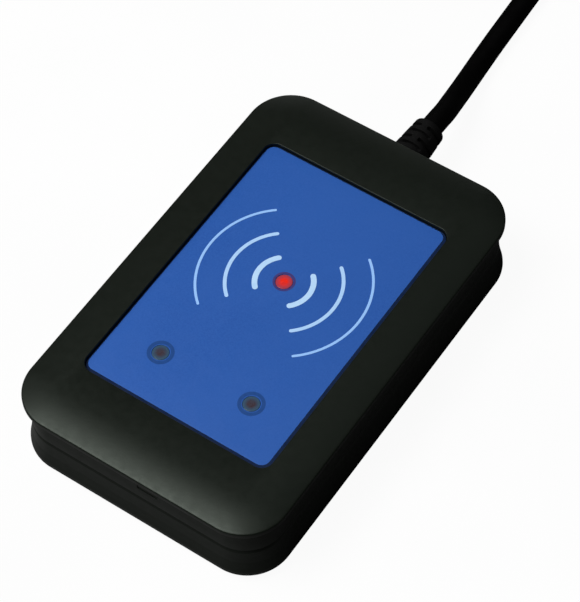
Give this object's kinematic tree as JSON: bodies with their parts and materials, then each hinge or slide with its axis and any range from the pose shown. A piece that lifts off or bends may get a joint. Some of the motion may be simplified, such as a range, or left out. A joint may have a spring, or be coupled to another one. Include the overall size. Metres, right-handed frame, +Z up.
{
  "type": "rfid card reader",
  "caption": "Desktop contactless card reader: black waisted two-shell housing, recessed blue front film with indicator lights, ribbed strain relief and USB lead.",
  "frame": {"origin": "centre of the housing's footprint, on the surface that its rubber feet stand on", "axes": "+Y along the housing towards its lead, +X across it, +Z up out of the card-reading face"},
  "size_m": [0.0979, 0.2036, 0.0269],
  "materials": {
    "housing": "fine satin spark-eroded grain",
    "film": "printed satin polycarbonate film",
    "red_lens": "clear red, lit",
    "grey_lens": "smoked clear, unlit",
    "rubber": "matt",
    "cord": "satin PVC jacket",
    "grip": "satin overmoulding",
    "board": "solder mask",
    "copper": "enamelled wire",
    "chip": "moulded epoxy",
    "steel": "bright plated",
    "ivory": "nylon",
    "gold": "gold plated",
    "lamp": "clear epoxy",
    "plate": "blank satin foil"
  },
  "bodies": {
    "root": {"top_cover": "housing", "bottom_cover": "housing", "front_film": "film", "centre_light_lens": "red_lens", "left_light_lens": "grey_lens", "right_light_lens": "grey_lens", "strain_relief": "rubber", "rubber_foot_1": "rubber", "rubber_foot_2": "rubber", "rubber_foot_3": "rubber", "rubber_foot_4": "rubber", "cord_tie": "rubber", "usb_cord": "cord", "cord_coil": "cord", "cord_tail": "cord", "inner_lead": "cord", "plug_grip": "grip", "circuit_board": "board", "antenna_coil": "copper", "controller_chip": "chip", "radio_chip": "chip", "memory_chip": "chip", "voltage_regulator": "chip", "sounder": "chip", "sounder_cap": "chip", "clock_crystal": "steel", "storage_capacitor": "steel", "cable_clamp": "steel", "clamp_screw_left": "steel", "clamp_screw_right": "steel", "board_screw_1": "steel", "board_screw_2": "steel", "cover_screw_1": "steel", "cover_screw_2": "steel", "cover_screw_3": "steel", "cover_screw_4": "steel", "plug_shell": "steel", "cable_header": "ivory", "cable_connector": "ivory", "plug_tongue": "ivory", "plug_contact_1": "gold", "plug_contact_2": "gold", "plug_contact_3": "gold", "plug_contact_4": "gold", "centre_lamp": "lamp", "left_lamp": "lamp", "right_lamp": "lamp", "rating_plate": "plate"}
  },
  "joints": []
}
